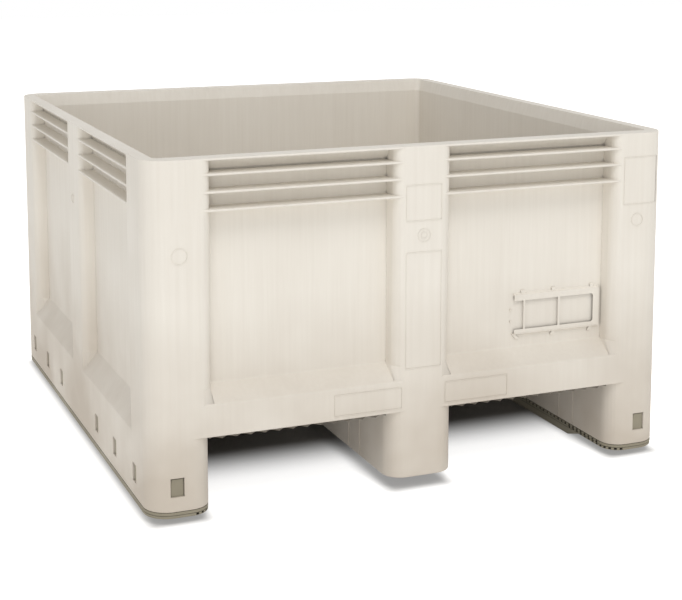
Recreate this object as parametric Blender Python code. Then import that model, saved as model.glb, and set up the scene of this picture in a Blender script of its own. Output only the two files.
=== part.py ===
"""Bulk harvest bin for wine grapes: a one-piece plastic tub on three legs, two snap-in skid runners
and a card holder on the front panel.

Metres, +Z up. The bin stands on Z = 0 with its centre on the Z axis, its fork entries face -Y and +Y.
"""

import math

import bmesh
import bpy
from mathutils import Matrix, Vector

# ---- overall size
WIDTH = 1.130
DEPTH = 1.219
HEIGHT = 0.700
CORNER_RADIUS = 0.050
CORNER_STEPS = 6

# ---- tub
SKIN = 0.005
WALL = 0.005
FLOOR_TOP = 0.200
FLOOR_THICKNESS = 0.005
INNER_CORNER_RADIUS = 0.014
RIM_THICKNESS = 0.005
RIM_WIDTH_FRONT = 0.038
RIM_WIDTH_SIDE = 0.028

# ---- stiffening fins under the rim, as lower faces below the rim top
FIN_THICKNESS = 0.005
FIN_DROPS = (0.034, 0.0675, 0.102)

# ---- recessed bays in the front and back walls
FRONT_RECESS = 0.042
FRONT_RECESS_AT_RIM = 0.028
FRONT_CORNER_POST = 0.1087
FRONT_CENTRE_POST = 0.0832
FRONT_POST_ROUND = 0.020
FRONT_SILL_EDGE = 0.227
FRONT_PANEL_BOTTOM = 0.258

# ---- recessed bays in the side walls
SIDE_RECESS = 0.031
SIDE_RECESS_AT_RIM = 0.020
SIDE_CORNER_POST = 0.1286
SIDE_CENTRE_POST = 0.090
SIDE_POST_ROUND = 0.016
SIDE_SILL_EDGE = 0.155
SIDE_PANEL_BOTTOM = 0.199

FLANK_DRAFT = 0.002
ROUND_STEPS = 4

# ---- legs and fork pockets
LEG_BOTTOM = 0.026
SIDE_LEG_WIDTH = 0.125
CENTRE_LEG_WIDTH = 0.146
LEG_ROUND = 0.040
BEAM_BOTTOM = 0.164
SIDE_LEG_CELLS = 7
CENTRE_LEG_CELLS = 11
POST_HOLLOW_BELOW_RIM = 0.040
CORE_DRAFT = 0.014

# ---- rib lattice under the floor
RIB_BOTTOM = 0.154
LATTICE_PITCH = 0.090
RIB_THICKNESS = 0.004
SMALLEST_CELL = 0.0004

# ---- windows for the runners' snap tabs
WINDOW_WIDTH = 0.028
WINDOW_HEIGHT = 0.038
WINDOW_CENTRE_Z = 0.0745
FRONT_WINDOW_FROM_SIDE = 0.055
SIDE_WINDOW_PITCH = 0.160
SIDE_WINDOW_FROM_END = 0.1095

# ---- skid runners
GAP = 0.0003
RUNNER_TOE_BOTTOM = 0.014
KEEL_TOE_LENGTH = 0.130
KEEL_RAMP = 0.045
KEEL_INSET = 0.022
KEEL_WALL = 0.006
TAB_THICKNESS = 0.003
TAB_BACK_GAP = 0.0015
TAB_RECESS = 0.0025
TAB_CLEARANCE = 0.0006
TOE_SLOT_PITCH = 0.018
TOE_SLOT_WIDTH = 0.008
TOE_SLOT_DEPTH = 0.006
TOE_SLOT_HEIGHT = 0.005

# ---- card holder on the right front panel
HOLDER_LEFT = 0.225
HOLDER_LENGTH = 0.200
HOLDER_BOTTOM = 0.284
HOLDER_HEIGHT = 0.086
HOLDER_THICKNESS = 0.0065
HOLDER_STRAP = 0.011
HOLDER_BAR = 0.006
HOLDER_NOTCH = 0.021
CARD_SLOT = 0.003
CARD_SEAT = 0.004
LUG_WIDTH = 0.016
LUG_LENGTH = 0.012

BEYOND = 0.010  # how far a cutter runs past the face that it opens

HALF_WIDTH = WIDTH / 2
HALF_DEPTH = DEPTH / 2
SIDE_LEG_INNER = HALF_WIDTH - SIDE_LEG_WIDTH
CENTRE_LEG_HALF = CENTRE_LEG_WIDTH / 2


def clear_scene():
    for obj in list(bpy.data.objects):
        bpy.data.objects.remove(obj, do_unlink=True)


def plastic(name, colour, roughness):
    material = bpy.data.materials.new(name)
    material.use_nodes = True
    shader = material.node_tree.nodes["Principled BSDF"]
    shader.inputs["Base Color"].default_value = (*colour, 1.0)
    shader.inputs["Roughness"].default_value = roughness
    shader.inputs["Metallic"].default_value = 0.0
    return material


def mesh_object(name, bm, material=None):
    """A scene object that holds this bmesh; with no material it is a hidden cutter."""
    bmesh.ops.recalc_face_normals(bm, faces=bm.faces)
    mesh = bpy.data.meshes.new(name)
    bm.to_mesh(mesh)
    bm.free()
    obj = bpy.data.objects.new(name, mesh)
    bpy.context.scene.collection.objects.link(obj)
    if material is None:
        obj.hide_render = True
        obj.display_type = "WIRE"
    else:
        mesh.materials.append(material)
    return obj


def boolean(target, operation, tool):
    modifier = target.modifiers.new(tool.name, "BOOLEAN")
    modifier.operation = operation
    modifier.object = tool


def arc(centre, radius, start, end, steps=CORNER_STEPS):
    """Points on a circle, from one angle to another in degrees."""
    angles = [math.radians(start + (end - start) * i / steps) for i in range(steps + 1)]
    return [(centre[0] + radius * math.cos(a), centre[1] + radius * math.sin(a)) for a in angles]


def rounded_rectangle(half_x, half_y, radius):
    points = []
    for quarter, (sx, sy) in enumerate(((1, 1), (-1, 1), (-1, -1), (1, -1))):
        centre = (sx * (half_x - radius), sy * (half_y - radius))
        points += arc(centre, radius, 90 * quarter, 90 * quarter + 90)
    return points


def bridge(bm, loops):
    """Adds a closed body through loops of equal length, each a list of points."""
    rings = [[bm.verts.new(point) for point in loop] for loop in loops]
    bm.faces.new(rings[0])
    bm.faces.new(rings[-1])
    for lower, upper in zip(rings, rings[1:]):
        for i in range(len(lower)):
            bm.faces.new((lower[i - 1], lower[i], upper[i], upper[i - 1]))


def loft(bm, outlines, heights):
    """Adds a closed body through flat outlines, one above another."""
    bridge(bm, [[(x, y, z) for x, y in outline] for outline, z in zip(outlines, heights)])


def prism(bm, outline, low, high):
    loft(bm, (outline, outline), (low, high))


def both_sides(bm, outline, low, high):
    """A prism on this outline, and its mirror image across X = 0."""
    prism(bm, outline, low, high)
    prism(bm, [(-x, y) for x, y in outline], low, high)


def box(bm, low, high):
    outline = ((low[0], low[1]), (high[0], low[1]), (high[0], high[1]), (low[0], high[1]))
    prism(bm, outline, low[2], high[2])


# The four walls are laid out alike: u runs along the wall, v goes inwards from its outer face.
WALLS = {
    "front": (0, HALF_DEPTH),
    "right": (90, HALF_WIDTH),
    "back": (180, HALF_DEPTH),
    "left": (270, HALF_WIDTH),
}


def wall_matrix(wall):
    turn, distance = WALLS[wall]
    return Matrix.Rotation(math.radians(turn), 4, "Z") @ Matrix.Translation((0, -distance, 0))


def add_turned(bm, piece, matrix):
    """Moves a piece by the matrix and adds it to the bmesh."""
    bmesh.ops.transform(piece, matrix=matrix, verts=piece.verts)
    mesh = bpy.data.meshes.new("piece")
    piece.to_mesh(mesh)
    piece.free()
    bm.from_mesh(mesh)
    bpy.data.meshes.remove(mesh)


def bay_sizes(wall):
    """Recess, recess at the rim, flank radius, sill edge, panel bottom, and the bay's two ends."""
    if wall in ("front", "back"):
        ends = (FRONT_CENTRE_POST / 2, HALF_WIDTH - FRONT_CORNER_POST)
        shape = (FRONT_RECESS, FRONT_RECESS_AT_RIM, FRONT_POST_ROUND)
        return *shape, FRONT_SILL_EDGE, FRONT_PANEL_BOTTOM, ends
    ends = (SIDE_CENTRE_POST / 2, HALF_DEPTH - SIDE_CORNER_POST)
    shape = (SIDE_RECESS, SIDE_RECESS_AT_RIM, SIDE_POST_ROUND)
    return *shape, SIDE_SILL_EDGE, SIDE_PANEL_BOTTOM, ends


def bay_outline(start, end, recess, radius):
    """Plan of a bay: round post edges, drafted flanks and a flat panel."""
    near = [(start + radius * math.sin(a), radius * (1 - math.cos(a))) for a in quarter_angles()]
    near = [(start, -BEYOND), *near, (start + radius + FLANK_DRAFT, recess)]
    middle = (start + end) / 2
    return near + [(2 * middle - u, v) for u, v in reversed(near)]


def quarter_angles():
    return [math.pi / 2 * i / ROUND_STEPS for i in range(ROUND_STEPS + 1)]


def bay_cutter():
    """Everything that is cut out of the four walls between the posts, the fins left standing."""
    bm = bmesh.new()
    fins = [HEIGHT - drop for drop in FIN_DROPS]
    for wall in WALLS:
        recess, recess_at_rim, radius, sill, panel_bottom, (start, end) = bay_sizes(wall)
        full = bay_outline(start, end, recess, radius)
        at_rim = bay_outline(start, end, recess_at_rim, radius)
        for side in (1, -1):
            mirrored = [[(side * u, v) for u, v in outline] for outline in (full, at_rim)]
            slices = bmesh.new()
            loft(slices, mirrored, (fins[0] + FIN_THICKNESS, HEIGHT - RIM_THICKNESS))
            for upper, lower in zip(fins, fins[1:]):
                prism(slices, mirrored[0], lower + FIN_THICKNESS, upper)
            add_turned(bm, slices, wall_matrix(wall))
            panel = bmesh.new()
            prism(panel, mirrored[0], sill - BEYOND, fins[-1])
            slope = Vector((0, -(panel_bottom - sill), recess))
            cut = bmesh.ops.bisect_plane(
                panel,
                geom=panel.verts[:] + panel.edges[:] + panel.faces[:],
                plane_co=(0, 0, sill),
                plane_no=slope,
                clear_inner=True,
            )
            edges = [item for item in cut["geom_cut"] if isinstance(item, bmesh.types.BMEdge)]
            bmesh.ops.edgeloop_fill(panel, edges=edges)
            add_turned(bm, panel, wall_matrix(wall))
    return mesh_object("bay_cutter", bm)


def cavity_cutter():
    """Inside of the tub: upright walls that flare out under the rim."""
    bm = bmesh.new()
    wall_x, wall_y = HALF_WIDTH - SIDE_RECESS - WALL, HALF_DEPTH - FRONT_RECESS - WALL
    rim_x, rim_y = HALF_WIDTH - RIM_WIDTH_SIDE, HALF_DEPTH - RIM_WIDTH_FRONT
    upright = rounded_rectangle(wall_x, wall_y, INNER_CORNER_RADIUS)
    mouth = rounded_rectangle(rim_x, rim_y, INNER_CORNER_RADIUS)
    flare = HEIGHT - FIN_DROPS[0] + FIN_THICKNESS
    loft(bm, (upright, upright, mouth, mouth), (FLOOR_TOP, flare, HEIGHT, HEIGHT + BEYOND))
    return mesh_object("cavity_cutter", bm)


def pocket_cutter():
    """The two fork pockets below the ribs, with the legs' round corners at both mouths."""
    bm = bmesh.new()
    mouth = HALF_DEPTH - LEG_ROUND
    inner, outer = CENTRE_LEG_HALF - LEG_ROUND, SIDE_LEG_INNER + LEG_ROUND
    near = arc((inner, mouth), LEG_ROUND, 0, 90, ROUND_STEPS)
    far = arc((outer, mouth), LEG_ROUND, 90, 180, ROUND_STEPS)
    back = [*near, (inner, HALF_DEPTH + BEYOND), (outer, HALF_DEPTH + BEYOND), *far]
    both_sides(bm, back + [(x, -y) for x, y in reversed(back)], 0.0, RIB_BOTTOM)
    return mesh_object("pocket_cutter", bm)


def beam_edge_cutter():
    """The beams' lower edges are a little higher than the ribs behind them."""
    bm = bmesh.new()
    near, far = HALF_DEPTH - 2 * SKIN, HALF_DEPTH + BEYOND
    for low, high in ((-far, -near), (near, far)):
        outline = [(CENTRE_LEG_HALF, low), (SIDE_LEG_INNER, low), (SIDE_LEG_INNER, high), (CENTRE_LEG_HALF, high)]
        both_sides(bm, outline, RIB_BOTTOM - BEYOND, BEAM_BOTTOM)
    return mesh_object("beam_edge_cutter", bm)


def lattice_cutter():
    """Square cells set cornerwise, sunk into the underside of the floor."""
    bm = bmesh.new()
    reach = max(WIDTH, DEPTH)
    steps = math.ceil(2 * reach / LATTICE_PITCH)
    bmesh.ops.create_grid(bm, x_segments=steps, y_segments=steps, size=steps * LATTICE_PITCH / 2)
    bmesh.ops.rotate(bm, matrix=Matrix.Rotation(math.radians(45), 3, "Z"), verts=bm.verts)
    cells = bm.faces[:]
    rims = bmesh.ops.inset_individual(bm, faces=cells, thickness=RIB_THICKNESS / 2, use_even_offset=True)
    bmesh.ops.delete(bm, geom=rims["faces"], context="FACES")
    low = Vector((CENTRE_LEG_HALF + RIB_THICKNESS, -HALF_DEPTH + SKIN, 0))
    high = Vector((SIDE_LEG_INNER - RIB_THICKNESS, HALF_DEPTH - SKIN, 0))
    for corner, normal in ((low, (-1, 0, 0)), (low, (0, -1, 0)), (high, (1, 0, 0)), (high, (0, 1, 0))):
        geometry = bm.verts[:] + bm.edges[:] + bm.faces[:]
        bmesh.ops.bisect_plane(bm, geom=geometry, plane_co=corner, plane_no=normal, clear_outer=True)
    slivers = [face for face in bm.faces if face.calc_area() < SMALLEST_CELL]
    bmesh.ops.delete(bm, geom=slivers, context="FACES")
    bmesh.ops.translate(bm, vec=(0, 0, RIB_BOTTOM - BEYOND), verts=bm.verts)
    top = bmesh.ops.extrude_face_region(bm, geom=bm.faces[:])
    raised = [item for item in top["geom"] if isinstance(item, bmesh.types.BMVert)]
    rise = FLOOR_TOP - FLOOR_THICKNESS - (RIB_BOTTOM - BEYOND)
    bmesh.ops.translate(bm, vec=(0, 0, rise), verts=raised)
    add_turned(bm, bm.copy(), Matrix.Rotation(math.pi, 4, "Z"))
    return mesh_object("lattice_cutter", bm)


def leg_cells(count):
    """Low and high Y of each cell along a leg, with a rib between one and the next."""
    inside = DEPTH - 2 * SKIN
    length = (inside - (count - 1) * RIB_THICKNESS) / count
    starts = [-inside / 2 + i * (length + RIB_THICKNESS) for i in range(count)]
    return [(start, start + length) for start in starts]


def cell_outline(x_low, x_high, y_low, y_high, round_low, round_high):
    """Plan of a cell; an end cell follows the leg's round corners at the wall it meets."""
    if y_low > -HALF_DEPTH + 2 * SKIN and y_high < HALF_DEPTH - 2 * SKIN:
        return [(x_low, y_low), (x_high, y_low), (x_high, y_high), (x_low, y_high)]
    front = arc((x_low + round_low, y_low + round_low), round_low, 180, 270)
    front += arc((x_high - round_high, y_low + round_high), round_high, 270, 360)
    outline = front + [(x_high, y_high), (x_low, y_high)]
    if y_low > 0:
        return [(x, y_low + y_high - y) for x, y in outline]
    return outline


def leg_cutter():
    """The hollows of the three legs, open below."""
    bm = bmesh.new()
    top = SIDE_SILL_EDGE - SKIN
    outer_round, inner_round = CORNER_RADIUS - SKIN, LEG_ROUND - SKIN
    x_low, x_high = -HALF_WIDTH + SKIN, -SIDE_LEG_INNER - SKIN
    for y_low, y_high in leg_cells(SIDE_LEG_CELLS):
        both_sides(bm, cell_outline(x_low, x_high, y_low, y_high, outer_round, inner_round), 0.0, top)
    x_low, x_high = -CENTRE_LEG_HALF + SKIN, -RIB_THICKNESS / 2
    for y_low, y_high in leg_cells(CENTRE_LEG_CELLS):
        both_sides(bm, cell_outline(x_low, x_high, y_low, y_high, inner_round, RIB_THICKNESS), 0.0, top)
    return mesh_object("leg_cutter", bm)


def core_cutter():
    """Hollows above the legs' cells, up to the floor."""
    bm = bmesh.new()
    start = SIDE_SILL_EDGE - 3 * BEYOND
    top = FLOOR_TOP - FLOOR_THICKNESS
    margin = RIB_THICKNESS / 4
    reach = HALF_DEPTH - FRONT_RECESS - 2 * WALL
    side_leg = (SIDE_LEG_INNER + SKIN + margin, HALF_WIDTH - SIDE_RECESS - 2 * WALL)
    centre_leg = (RIB_THICKNESS / 2 + margin, CENTRE_LEG_HALF - SKIN - margin)
    for count, (x_low, x_high) in ((SIDE_LEG_CELLS, side_leg), (CENTRE_LEG_CELLS, centre_leg)):
        for y_low, y_high in leg_cells(count):
            low, high = max(y_low + margin, -reach), min(y_high - margin, reach)
            both_sides(bm, ((x_low, low), (x_high, low), (x_high, high), (x_low, high)), start, top)
    return mesh_object("core_cutter", bm)


def post_cutter():
    """Hollows inside the four corner posts, the four centre posts and the two pairs of beams."""
    bm = bmesh.new()
    start, top = SIDE_SILL_EDGE - 4 * BEYOND, HEIGHT - POST_HOLLOW_BELOW_RIM
    depth_x, depth_y = SIDE_RECESS - WALL / 2, FRONT_RECESS - WALL / 2
    corner = arc((CORNER_RADIUS, CORNER_RADIUS), CORNER_RADIUS - SKIN, 180, 270)
    corner += [
        (FRONT_CORNER_POST - SKIN, SKIN),
        (FRONT_CORNER_POST - SKIN + CORE_DRAFT, depth_y),
        (depth_x, depth_y),
        (depth_x, SIDE_CORNER_POST - SKIN + CORE_DRAFT),
        (SKIN, SIDE_CORNER_POST - SKIN),
    ]
    for sx in (1, -1):
        for sy in (1, -1):
            outline = [(sx * (x - HALF_WIDTH), sy * (y - HALF_DEPTH)) for x, y in corner]
            prism(bm, outline, start, top)
    for wall in WALLS:
        recess, _, _, sill, _, _ = bay_sizes(wall)
        half = (FRONT_CENTRE_POST if wall in ("front", "back") else SIDE_CENTRE_POST) / 2 - SKIN
        depth = recess - WALL / 2
        post = [(-half, SKIN), (half, SKIN), (half + CORE_DRAFT, depth), (-half - CORE_DRAFT, depth)]
        piece = bmesh.new()
        prism(piece, post, start, top)
        if wall in ("front", "back"):
            near, far = CENTRE_LEG_HALF + 2 * RIB_THICKNESS, SIDE_LEG_INNER - 2 * RIB_THICKNESS
            skin = SKIN + RIB_THICKNESS / 4
            for side in (1, -1):
                ends = sorted((side * near, side * far))
                box(piece, (ends[0], skin, FLOOR_TOP - 2 * BEYOND), (ends[1], depth, sill - SKIN))
        add_turned(bm, piece, wall_matrix(wall))
    return mesh_object("post_cutter", bm)


def side_window_positions():
    offsets = [HALF_DEPTH - SIDE_WINDOW_FROM_END - i * SIDE_WINDOW_PITCH for i in range(3)]
    return [-offset for offset in offsets] + offsets[::-1]


def window_places():
    """Where each window is: its wall, and its middle along that wall."""
    places = [(wall, u) for wall in ("right", "left") for u in side_window_positions()]
    middle = HALF_WIDTH - FRONT_WINDOW_FROM_SIDE
    return places + [(wall, u) for wall in ("front", "back") for u in (-middle, middle)]


def window_cutter():
    bm = bmesh.new()
    low, high = WINDOW_CENTRE_Z - WINDOW_HEIGHT / 2, WINDOW_CENTRE_Z + WINDOW_HEIGHT / 2
    for wall, u in window_places():
        piece = bmesh.new()
        box(piece, (u - WINDOW_WIDTH / 2, -BEYOND, low), (u + WINDOW_WIDTH / 2, SKIN + BEYOND, high))
        add_turned(bm, piece, wall_matrix(wall))
    return mesh_object("window_cutter", bm)


def make_bin_body(material):
    bm = bmesh.new()
    prism(bm, rounded_rectangle(HALF_WIDTH, HALF_DEPTH, CORNER_RADIUS), LEG_BOTTOM, HEIGHT)
    body = mesh_object("bin_body", bm, material)
    cutters = (
        cavity_cutter, bay_cutter, pocket_cutter, beam_edge_cutter, lattice_cutter, leg_cutter,
        core_cutter, post_cutter, window_cutter,
    )
    for cutter in cutters:
        boolean(body, "DIFFERENCE", cutter())
    return body


def runner_outline():
    """Plan of the left side leg, which its runner follows."""
    x_low, x_high = -HALF_WIDTH, -SIDE_LEG_INNER
    outer, inner, end = CORNER_RADIUS, LEG_ROUND, HALF_DEPTH
    front = arc((x_low + outer, -end + outer), outer, 180, 270)
    front += arc((x_high - inner, -end + inner), inner, 270, 360)
    return front + [(x, -y) for x, y in reversed(front)]


def runner_keel(side):
    """The bar that stands on the ground, set in from the outer side, with a ramp at both ends."""
    bm = bmesh.new()
    toe, ramp = HALF_DEPTH - KEEL_TOE_LENGTH, KEEL_RAMP
    root = RUNNER_TOE_BOTTOM + GAP * 10
    profile = [(-toe, root), (-toe, RUNNER_TOE_BOTTOM), (-toe + ramp, 0.0)]
    profile += [(-y, z) for y, z in reversed(profile)]
    x_low, x_high = -HALF_WIDTH + KEEL_INSET, -SIDE_LEG_INNER
    bridge(bm, [[(side * x, y, z) for y, z in profile] for x in (x_low, x_high)])
    return bm


def runner_tabs(side):
    """Snap tabs that stand inside the leg, each with a catch that fills its window."""
    bm = bmesh.new()
    low, high = WINDOW_CENTRE_Z - WINDOW_HEIGHT / 2, WINDOW_CENTRE_Z + WINDOW_HEIGHT / 2
    root = LEG_BOTTOM - GAP - TAB_THICKNESS
    own_side = "right" if side < 0 else "left"
    half = WINDOW_WIDTH / 2 - TAB_CLEARANCE
    back = SKIN + TAB_BACK_GAP
    for wall, u in window_places():
        if wall in ("left", "right") and wall != own_side:
            continue
        on_own_leg = u * (-side if wall == "front" else side) > 0
        if wall in ("front", "back") and not on_own_leg:
            continue
        profile = [
            (back + TAB_THICKNESS, root),
            (back + TAB_THICKNESS, high + TAB_THICKNESS),
            (back, high + TAB_THICKNESS),
            (back, high - TAB_CLEARANCE),
            (TAB_RECESS, high - TAB_CLEARANCE),
            (TAB_RECESS, low + TAB_CLEARANCE),
            (back, low + TAB_CLEARANCE),
            (back, root),
        ]
        piece = bmesh.new()
        bridge(piece, [[(u + end, v, z) for v, z in profile] for end in (-half, half)])
        add_turned(bm, piece, wall_matrix(wall))
    return bm


def toe_slots(side):
    """Slots in the lower edge of the toes, across the front and back ends."""
    bm = bmesh.new()
    x_low, x_high = -HALF_WIDTH + CORNER_RADIUS, -SIDE_LEG_INNER - LEG_ROUND / 2
    count = math.floor((x_high - x_low) / TOE_SLOT_PITCH)
    bottom = RUNNER_TOE_BOTTOM
    for i in range(count + 1):
        x = x_low + i * TOE_SLOT_PITCH
        for end in (1, -1):
            ys = sorted((end * (HALF_DEPTH + BEYOND), end * (HALF_DEPTH - TOE_SLOT_DEPTH)))
            xs = sorted((side * x, side * (x + TOE_SLOT_WIDTH)))
            box(bm, (xs[0], ys[0], bottom - BEYOND), (xs[1], ys[1], bottom + TOE_SLOT_HEIGHT))
    return bm


def runner_pockets(side):
    """Hollows between the keel's ribs, open above into the leg's own cells."""
    bm = bmesh.new()
    reach = HALF_DEPTH - KEEL_TOE_LENGTH - KEEL_RAMP
    ends = sorted((side * (-HALF_WIDTH + KEEL_INSET + KEEL_WALL), side * (-SIDE_LEG_INNER - KEEL_WALL)))
    for y_low, y_high in leg_cells(SIDE_LEG_CELLS):
        if y_low < -reach or y_high > reach:
            continue
        box(bm, (ends[0], y_low + KEEL_WALL, KEEL_WALL), (ends[1], y_high - KEEL_WALL, LEG_BOTTOM + BEYOND))
    return bm


def make_runner(name, side, material):
    """One skid runner; side is 1 for the left leg and -1 for the right."""
    bm = bmesh.new()
    outline = [(side * x, y) for x, y in runner_outline()]
    prism(bm, outline, RUNNER_TOE_BOTTOM, LEG_BOTTOM - GAP)
    runner = mesh_object(name, bm, material)
    boolean(runner, "UNION", mesh_object(name + "_keel", runner_keel(side)))
    boolean(runner, "UNION", mesh_object(name + "_tabs", runner_tabs(side)))
    boolean(runner, "DIFFERENCE", mesh_object(name + "_slots", toe_slots(side)))
    boolean(runner, "DIFFERENCE", mesh_object(name + "_pockets", runner_pockets(side)))
    return runner


def make_card_holder(material):
    """A frame with two card windows, on lugs fixed to the panel; a card slides in behind it from the left."""
    right = HOLDER_LEFT + HOLDER_LENGTH
    top = HOLDER_BOTTOM + HOLDER_HEIGHT
    back = -HALF_DEPTH + FRONT_RECESS - GAP
    face = back - HOLDER_THICKNESS
    bm = bmesh.new()
    box(bm, (HOLDER_LEFT, face, HOLDER_BOTTOM), (right, back, top))
    holder = mesh_object("card_holder", bm, material)
    lugs = bmesh.new()
    window = (HOLDER_LENGTH - HOLDER_NOTCH - 3 * HOLDER_BAR) / 2
    first = HOLDER_LEFT + HOLDER_NOTCH + HOLDER_BAR
    for i in range(3):
        x = HOLDER_LEFT + HOLDER_NOTCH + i * (window + HOLDER_BAR)
        x = min(x, right - LUG_WIDTH - HOLDER_BAR)
        for z in (HOLDER_BOTTOM - LUG_LENGTH, top - LUG_LENGTH / 2):
            z_high = z + LUG_LENGTH * 1.5
            box(lugs, (x, back - HOLDER_THICKNESS / 2, z), (x + LUG_WIDTH, back, z_high))
    boolean(holder, "UNION", mesh_object("card_holder_lugs", lugs))
    holes = bmesh.new()
    low, high = HOLDER_BOTTOM + HOLDER_STRAP, top - HOLDER_STRAP
    for i in range(2):
        x = first + i * (window + HOLDER_BAR)
        box(holes, (x, face - BEYOND, low), (x + window, back + BEYOND, high))
    notch_low = HOLDER_LEFT - BEYOND
    box(holes, (notch_low, face - BEYOND, low), (HOLDER_LEFT + HOLDER_NOTCH, back + BEYOND, high))
    boolean(holder, "DIFFERENCE", mesh_object("card_holder_windows", holes))
    slot = bmesh.new()
    slot_low = (HOLDER_LEFT - BEYOND, back - CARD_SLOT, HOLDER_BOTTOM + CARD_SEAT)
    slot_high = (right - CARD_SEAT, back + BEYOND, top - CARD_SEAT)
    box(slot, slot_low, slot_high)
    boolean(holder, "DIFFERENCE", mesh_object("card_holder_slot", slot))
    return holder


def main():
    clear_scene()
    bone = plastic("bone_polyethylene", (0.80, 0.76, 0.68), 0.55)
    khaki = plastic("khaki_polyethylene", (0.31, 0.29, 0.20), 0.6)
    make_bin_body(bone)
    make_runner("left_skid_runner", 1, khaki)
    make_runner("right_skid_runner", -1, khaki)
    make_card_holder(bone)


main()
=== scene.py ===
"""Looks of the bulk harvest bin: a moulded tub with its floor ribs, two skid runners and a card holder."""

import logging
import math
from collections.abc import Callable, Iterable, Sequence
from dataclasses import dataclass, field
from enum import Enum

import bmesh
import bpy
from bmesh.types import BMEdge, BMesh, BMFace, BMLayerItem, BMVert
from bpy.types import NodeSocket as Socket
from mathutils import Matrix, Vector


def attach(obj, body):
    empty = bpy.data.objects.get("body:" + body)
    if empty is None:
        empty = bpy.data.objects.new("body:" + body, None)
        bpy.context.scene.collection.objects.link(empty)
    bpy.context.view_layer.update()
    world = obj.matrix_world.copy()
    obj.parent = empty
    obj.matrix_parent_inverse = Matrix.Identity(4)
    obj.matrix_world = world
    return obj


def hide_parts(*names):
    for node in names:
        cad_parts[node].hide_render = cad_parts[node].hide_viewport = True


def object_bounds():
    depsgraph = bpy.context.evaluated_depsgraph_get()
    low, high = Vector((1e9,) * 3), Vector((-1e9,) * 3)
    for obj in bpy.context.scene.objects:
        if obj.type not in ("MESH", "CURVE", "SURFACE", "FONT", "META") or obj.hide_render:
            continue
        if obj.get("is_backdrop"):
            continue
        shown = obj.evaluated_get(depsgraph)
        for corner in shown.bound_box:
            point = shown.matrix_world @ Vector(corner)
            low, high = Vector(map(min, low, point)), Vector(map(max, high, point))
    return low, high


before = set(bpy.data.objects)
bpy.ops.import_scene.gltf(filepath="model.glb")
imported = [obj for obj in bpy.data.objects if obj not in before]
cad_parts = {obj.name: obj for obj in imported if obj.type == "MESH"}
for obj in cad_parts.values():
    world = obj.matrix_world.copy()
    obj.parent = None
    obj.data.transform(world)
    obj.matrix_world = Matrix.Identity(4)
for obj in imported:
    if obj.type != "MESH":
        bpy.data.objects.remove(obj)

BODY = "root"
WELD = 1e-6  # points nearer than this are one point
PICK = 1e-5  # a point nearer to a place than this is at it
SHARP_ANGLE = math.radians(38)
WHITE = (1.0, 1.0, 1.0, 1.0)

log = logging.getLogger("harvest_bin")

Point = tuple[float, float, float]


class Wall(Enum):
    """The four walls, each with the turn that brings the front wall to it, in degrees."""

    FRONT = 0
    RIGHT = 90
    BACK = 180
    LEFT = 270

    @property
    def has_pockets(self) -> bool:
        """Whether the fork pockets open in this wall."""
        return self in (Wall.FRONT, Wall.BACK)


class Side(Enum):
    """Left and right, as the sign of X."""

    LEFT = -1
    RIGHT = 1


@dataclass(frozen=True)
class BinSize:
    """The whole bin's box.

    Attributes:
        half_width: Half the size along X, in metres.
        half_depth: Half the size along Y.
        height: Height of the rim above the ground.
    """

    half_width: float
    half_depth: float
    height: float

    def half_length(self, wall: Wall) -> float:
        """Half the length of a wall."""
        return self.half_width if wall.has_pockets else self.half_depth

    def distance(self, wall: Wall) -> float:
        """How far a wall's outer face is from the middle."""
        return self.half_depth if wall.has_pockets else self.half_width

    def to_world(self, wall: Wall) -> Matrix:
        """From a wall's own axes (along it, inwards, up) to the world's."""
        outwards = Matrix.Translation((0, -self.distance(wall), 0))
        return Matrix.Rotation(math.radians(wall.value), 4, "Z") @ outwards


# ---- meshes


def link(name: str, data: bpy.types.ID) -> bpy.types.Object:
    """Adds an object with this data to the scene."""
    added = bpy.data.objects.new(name, data)
    bpy.context.scene.collection.objects.link(added)
    return added


def as_mesh(bm: BMesh, name: str) -> bpy.types.Mesh:
    """Turns a bmesh into a mesh, and frees it."""
    mesh = bpy.data.meshes.new(name)
    bm.to_mesh(mesh)
    bm.free()
    return mesh


def finish_piece(bm: BMesh, name: str, finish: bpy.types.Material, node: str) -> bpy.types.Object:
    """Turns a bmesh into a piece of the bin, smooth but for its sharp edges.

    Args:
        bm: The mesh, in world coordinates. It is freed.
        name: The piece's name.
        finish: Its material.
        node: The CAD node that the piece stands for.

    Returns:
        The new object, riding on the bin.
    """
    for face in bm.faces:
        face.smooth = True
    for edge in bm.edges:
        edge.smooth = len(edge.link_faces) == 2 and edge.calc_face_angle(0.0) < SHARP_ANGLE
    piece = link(name, as_mesh(bm, name))
    piece.data.materials.append(finish)
    piece.modifiers.new("even_normals", "WEIGHTED_NORMAL").keep_sharp = True
    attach(piece, BODY)
    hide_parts(node)
    return piece


def add_to(bm: BMesh, part: BMesh, place: Matrix | None = None) -> None:
    """Moves a part to its place, or leaves it where it is, adds it to a mesh and frees it."""
    if place is not None:
        bmesh.ops.transform(part, matrix=place, verts=part.verts)
    mesh = as_mesh(part, "part")
    bm.from_mesh(mesh)
    bpy.data.meshes.remove(mesh)


def block(low: Point, high: Point) -> BMesh:
    """A box between two corners, as a new bmesh."""
    bm = bmesh.new()
    size = Vector(high) - Vector(low)
    middle = (Vector(high) + Vector(low)) / 2
    bmesh.ops.create_cube(bm, size=1.0, matrix=Matrix.Translation(middle) @ Matrix.Diagonal((*size, 1.0)))
    return bm


def round_edges(
    bm: BMesh, edges: Iterable[BMEdge], radius: float, steps: int = 3, clamp: bool = True,
) -> None:
    """Rounds these edges, by no more than there is room for where clamp is set."""
    bmesh.ops.bevel(
        bm, geom=list(edges), offset=radius, segments=steps, affect="EDGES", profile=0.5, material=-1,
        clamp_overlap=clamp,
    )


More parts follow.
